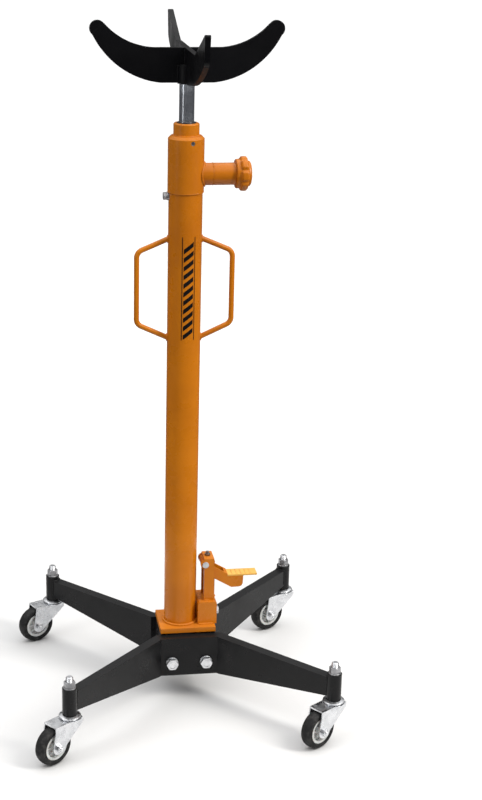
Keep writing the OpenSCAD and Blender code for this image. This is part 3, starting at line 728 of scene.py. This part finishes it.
# ---- valve knob, pump fittings and spring ----
def make_knob():
    """The lobed release knob: round flange, eight finger grooves, stepped domed face. The
    profile is (height, radius) in millimetres and the share of the grooves' depth there."""
    low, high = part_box("release_knob")
    place = axis_at((low.x, 0, (low.z + high.z) / 2), (1, 0, 0))
    lobes = 8
    depth = 3.3 * MM
    profile = [
        (0.0, 6.1, 0.0), (0.0, 25.3, 0.0), (0.3, 26.2, 0.0), (1.2, 26.9, 0.0), (2.0, 27.0, 0.0),
        (6.6, 27.0, 0.0), (7.6, 27.4, 0.1), (8.3, 28.8, 0.45), (9.0, 30.4, 0.85), (10.2, 31.6, 1.0),
        (12.0, 31.95, 1.0), (18.2, 31.95, 1.0), (20.0, 31.4, 1.0), (21.2, 30.0, 0.9),
        (21.9, 27.6, 0.5), (22.2, 25.2, 0.15), (22.6, 24.0, 0.0), (23.4, 23.5, 0.0),
        (25.8, 23.4, 0.0), (27.3, 22.2, 0.0), (28.4, 19.8, 0.0), (29.1, 17.0, 0.0),
        (29.4, 14.2, 0.0), (29.2, 13.2, 0.0), (28.4, 12.5, 0.0), (26.5, 12.2, 0.0),
        (26.5, 6.1, 0.0),
    ]
    sides = 192
    rings = []
    for height, radius, share in profile:
        ring = []
        for i in range(sides):
            a = 2 * math.pi * i / sides
            groove = max(0.0, math.cos(lobes * (a + math.pi / lobes))) ** 2
            r = radius * MM - depth * share * groove
            ring.append(place @ Vector((r * math.cos(a), r * math.sin(a), height * MM)))
        rings.append(ring)
    knob = bmesh.new()
    skin(knob, rings, loop=True)
    make_piece("release_knob_lobed", knob, "orange_paint", "knob", ["release_knob"], 50)


def make_spindle_end():
    """A socket screw and washer that hold the knob on its spindle."""
    low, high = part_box("release_knob")
    place = axis_at((high.x - 3 * MM, 0, (low.z + high.z) / 2), (1, 0, 0))
    cap = bmesh.new()
    washer(cap, place, 2 * MM, 11.2 * MM, 0.0, 0.9 * MM)
    head = [
        (0.9, 7.4), (1.6, 7.6), (3.0, 7.4), (3.4, 6.9), (3.4, 4.2), (2.0, 4.0), (2.0, 0.4),
    ]
    lathe(cap, place, [(h * MM - 0.6 * MM, r * MM) for h, r in head], 48)
    make_piece("knob_cap_screw", cap, "zinc", "knob", [], 30)


def make_fittings():
    """Hexagon fittings on the pump and the column: gland nut, plugs and filler."""
    low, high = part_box("pump_gland_nut")
    centre = (low + high) / 2
    quarter = Matrix.Rotation(math.pi / 2, 4, "Z")
    gland_place = axis_at((centre.x, centre.y, 0), UP) @ quarter
    plunger_r = 4 * MM
    nut = bmesh.new()
    hexagon(nut, gland_place, 17 * MM, low.z, high.z, plunger_r + 0.1 * MM)
    make_piece("gland_nut", nut, "zinc", "frame", ["pump_gland_nut"], 25)

    plugs = bmesh.new()
    low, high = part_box("check_valve_plugs")
    plug_flats = 14 * MM
    plug_r = 4 * MM
    head = high.x - 5 * MM
    for y in (low.y + plug_flats / 2, high.y - plug_flats / 2):
        place = axis_at((0, y, (low.z + high.z) / 2), (1, 0, 0))
        hexagon(plugs, place, plug_flats, head, high.x)
        lathe(plugs, place, [(low.x, plug_r), (head, plug_r)], 32)
        washer(plugs, place, plug_r, 7.6 * MM, high.x - 6 * MM, head)
    make_piece("pump_plugs", plugs, "zinc", "frame", ["check_valve_plugs"], 25)

    filler = bmesh.new()
    low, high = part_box("filler_plug")
    place = axis_at((0, 0, (low.z + high.z) / 2), (-1, 0, 0))
    top = -low.x
    hexagon(filler, place, 13 * MM, top - 6 * MM, top)
    flange_r = 8 * MM
    flange = [(TUBE_R - 4 * MM, 4 * MM), (TUBE_R - 2 * MM, flange_r), (top - 7.2 * MM, flange_r)]
    flange += [(top - 6.6 * MM, flange_r - 0.4 * MM), (top - 6 * MM, 6.4 * MM)]
    lathe(filler, place, flange, 48)
    make_piece("oil_filler", filler, "zinc", "frame", ["filler_plug"], 25, "dull_zinc")


def make_spring():
    """The pump's return spring: round wire with closed end coils."""
    low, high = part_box("plunger_spring")
    wire = 0.7 * MM
    radius = 6 * MM - wire
    centre = (low + high) / 2
    turns = 4.6
    closed_turns = 0.7
    closed_rise = 0.06
    count = 240
    path = []
    for i in range(count + 1):
        t = i / count
        rise = min(max((t * turns - closed_turns) / (turns - 2 * closed_turns), 0.0), 1.0)
        climbed = closed_rise * t + (1 - closed_rise) * rise
        z = low.z + wire + (high.z - low.z - 2 * wire) * climbed
        a = 2 * math.pi * turns * t
        path.append(Vector((centre.x + radius * math.cos(a), centre.y + radius * math.sin(a), z)))
    spring = bmesh.new()
    sweep(spring, path, lambda i: wire, 10)
    piece = make_piece("return_spring", spring, "spring_steel", "plunger", ["plunger_spring"], 60)
    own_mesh(piece)


def make_stripes():
    """A plain band of slanted bars between two rules, painted on the column."""
    band = bmesh.new()
    radius = TUBE_R + 0.12 * MM
    middle = math.radians(-84)
    low_z = 739 * MM
    high_z = 937 * MM
    half_band = 13 * MM
    rule_w = 1.6 * MM
    bar_count = 11
    bar_pitch = 16.5 * MM
    bar_height = 9 * MM
    half_bar = 9.5 * MM
    bar_slant = 0.75

    def patch(arc_low, arc_high, z_low, z_high, slant):
        steps = 6
        rows = []
        for k in range(steps + 1):
            arc = arc_low + (arc_high - arc_low) * k / steps
            a = middle + arc / radius
            lift = slant * (arc - arc_low)
            spot = Vector((radius * math.cos(a), radius * math.sin(a), 0))
            rows.append([band.verts.new(spot + UP * (z + lift)) for z in (z_low, z_high)])
        for one, two in zip(rows, rows[1:]):
            band.faces.new((one[0], two[0], two[1], one[1]))

    for arc in (-half_band, half_band - rule_w):
        patch(arc, arc + rule_w, low_z, high_z, 0.0)
    for k in range(bar_count):
        z = low_z + 1 * MM + k * bar_pitch
        patch(-half_bar, half_bar, z, z + bar_height, bar_slant)
    make_piece("column_stripes", band, "black_paint", "frame", [], 60)


# ---- stage ----
def make_floor():
    """A pale floor. It is less pale round the jack, where the lamps are brightest, so that
    the soft shadows show and the rest stays white."""
    bm = bmesh.new()
    bmesh.ops.create_grid(bm, x_segments=8, y_segments=8, size=60.0)
    mesh = bpy.data.meshes.new("floor")
    bm.to_mesh(mesh)
    bm.free()
    floor = bpy.data.objects.new("floor", mesh)
    bpy.context.scene.collection.objects.link(floor)
    g = Graph("floor_look", Specular_IOR_Level=0.1)
    pale = g.blend(g.noise(3.0, 3.0), (0.86, 0.86, 0.86), (0.90, 0.90, 0.90))
    reach = g.add("ShaderNodeVectorMath", {0: g.place}, operation="LENGTH").outputs["Value"]
    tone = g.blend(g.ramp(reach, 0.4, 2.4), (0.66, 0.66, 0.66), pale)
    mesh.materials.append(g.finish(tone, g.ramp(g.noise(9.0), 0.3, 0.7, 0.75, 0.9)))


def make_reflection_shade_ring():
    """A dark ring on the floor, unseen by the camera: painted shade, so that gloss reflects dark and undersides
    get less bounced light.
    It lets light pass from below, so the floor itself stays pale."""
    bm = bmesh.new()
    rows = []
    for radius in (0.75, 2.0, 5.0, 14.0):
        points = ring_path((0.0, 0.0, 3 * MM), radius, 48)
        rows.append([bm.verts.new(point) for point in points])
    for row, after in zip(rows, rows[1:]):
        for i in range(len(row)):
            j = (i + 1) % len(row)
            bm.faces.new((row[i], after[i], after[j], row[j]))
    mesh = bpy.data.meshes.new("reflection_shade_ring")
    bm.to_mesh(mesh)
    bm.free()
    shade_ring = bpy.data.objects.new("reflection_shade_ring", mesh)
    bpy.context.scene.collection.objects.link(shade_ring)
    g = Graph("reflection_shade_ring_look", Specular_IOR_Level=0.0)
    # painted shade: the dark tone that gloss reflects and that undersides get as bounced light
    tone = g.blend(g.noise(3.0, 3.0), (0.05, 0.05, 0.055), (0.09, 0.09, 0.095))
    under = g.add("ShaderNodeNewGeometry").outputs["Backfacing"]
    clear = g.add("ShaderNodeBsdfTransparent").outputs[0]
    both = g.add("ShaderNodeMixShader", {0: under, 1: g.shader.outputs[0], 2: clear})
    g.feed(g.tree.nodes["Material Output"].inputs[0], both.outputs[0])
    mesh.materials.append(g.finish(tone, g.ramp(g.noise(9.0), 0.3, 0.7, 0.75, 0.9)))
    shade_ring.visible_camera = False
    shade_ring.visible_shadow = False


def soft_light(name, place, target, size, power, tint=(1.0, 1.0, 1.0)):
    """A rectangular softbox at place, aimed at target."""
    data = bpy.data.lights.new(name, "AREA")
    data.shape = "RECTANGLE"
    data.size, data.size_y = size
    data.energy = power
    data.color = tint
    lamp = bpy.data.objects.new(name, data)
    lamp.location = place
    aim = Vector(target) - Vector(place)
    lamp.rotation_euler = aim.to_track_quat("-Z", "Y").to_euler()
    bpy.context.scene.collection.objects.link(lamp)


def light_studio():
    """A key and a fill lamp under a sky that is brightest overhead. The camera itself sees
    plain white past the floor's edge."""
    world = bpy.data.worlds.new("studio")
    world.use_nodes = True
    tree = world.node_tree
    sky = tree.nodes["Background"]
    sky.inputs[0].default_value = (1.0, 1.0, 1.0, 1.0)
    place = tree.nodes.new("ShaderNodeTexCoord")
    split = tree.nodes.new("ShaderNodeSeparateXYZ")
    overhead = tree.nodes.new("ShaderNodeMapRange")
    overhead.interpolation_type = "SMOOTHSTEP"
    for name, value in (("From Min", 0.30), ("From Max", 0.95), ("To Min", 0.08), ("To Max", 2.05)):
        overhead.inputs[name].default_value = value
    tree.links.new(place.outputs["Generated"], split.inputs[0])
    tree.links.new(split.outputs["Z"], overhead.inputs["Value"])
    seen = tree.nodes.new("ShaderNodeLightPath").outputs["Is Camera Ray"]
    backdrop = tree.nodes.new("ShaderNodeMix")
    backdrop.inputs["B"].default_value = 1.0
    tree.links.new(seen, backdrop.inputs["Factor"])
    tree.links.new(overhead.outputs[0], backdrop.inputs["A"])
    tree.links.new(backdrop.outputs[0], sky.inputs[1])
    bpy.context.scene.world = world
    middle = (0.0, 0.0, 0.7)
    soft_light("key", (2.4, -1.5, 2.6), middle, (0.7, 2.2), 95.0, (1.0, 0.97, 0.92))
    soft_light("fill", (-2.6, -1.2, 1.8), middle, (0.5, 2.2), 18.0)


# The photograph's viewpoint, from the jack's proportions. Angles are degrees.
CAMERA = {
    "place": (-0.4242, -2.9703, 1.6096),
    "azimuth": 8.40,
    "pitch": 18.05,
    "roll": 0.87,
    "lens_mm": 73.9,
    "shift": (0.0634, -0.0131),
}


def make_camera():
    az, pitch, roll = (math.radians(CAMERA[k]) for k in ("azimuth", "pitch", "roll"))
    level = math.cos(pitch)
    ahead = Vector((math.sin(az) * level, math.cos(az) * level, -math.sin(pitch)))
    right = Vector((math.cos(az), -math.sin(az), 0.0))
    up = right.cross(ahead)
    right_rolled = right * math.cos(roll) + up * math.sin(roll)
    up_rolled = up * math.cos(roll) - right * math.sin(roll)
    data = bpy.data.cameras.new("camera")
    data.sensor_width = 36.0
    data.lens = CAMERA["lens_mm"]
    data.shift_x, data.shift_y = CAMERA["shift"]
    data.clip_end = 200.0
    camera = bpy.data.objects.new("camera", data)
    turn = Matrix((right_rolled, up_rolled, -ahead)).transposed().to_4x4()
    camera.matrix_world = Matrix.Translation(CAMERA["place"]) @ turn
    bpy.context.scene.collection.objects.link(camera)
    bpy.context.scene.camera = camera


dress_nodes()
make_leg_bolts()
make_stems()
make_axles()
make_tyres()
make_wheel_ribs()
make_column_welds()
make_pump_welds()
make_leg_welds()
make_saddle_welds()
make_knob()
make_spindle_end()
make_fittings()
make_spring()
make_stripes()
make_floor()
make_reflection_shade_ring()
light_studio()
make_camera()
bpy.context.scene.view_settings.view_transform = "Standard"
